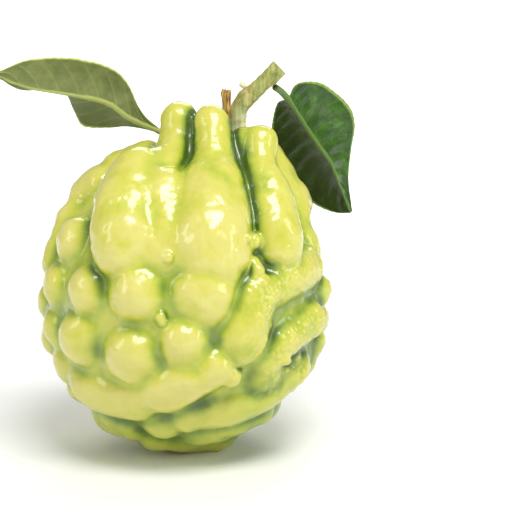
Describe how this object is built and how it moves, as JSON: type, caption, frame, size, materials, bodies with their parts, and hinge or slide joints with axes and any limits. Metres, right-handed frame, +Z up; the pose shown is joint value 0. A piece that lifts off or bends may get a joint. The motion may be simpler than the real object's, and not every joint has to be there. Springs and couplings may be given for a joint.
{
  "type": "bergamot orange",
  "caption": "Ripe bergamot orange with a knobbly waxy rind, standing on its blossom end, with its cut stalk and two leaves still attached.",
  "frame": {"origin": "centre of the flat on the blossom end that the fruit rests on", "axes": "+Z up from the blossom end to the stalk, +X towards the side the stalk leans to, -Y towards the side with the large smooth knobs"},
  "size_m": [0.1005, 0.0818, 0.1099],
  "materials": {
    "rind": "waxy, yellow on the knobs and green in the creases",
    "calyx": "matte green",
    "stalk": "satin green bark",
    "dry_wood": "dry brown fibres",
    "bud": "satin",
    "leaf": "glossy above, matte and paler below"
  },
  "bodies": {
    "root": {"fruit": "rind", "calyx": "calyx", "stalk": "stalk", "dried_stub": "dry_wood", "bud": "bud", "left_leaf": "leaf", "right_leaf": "leaf"}
  },
  "joints": []
}
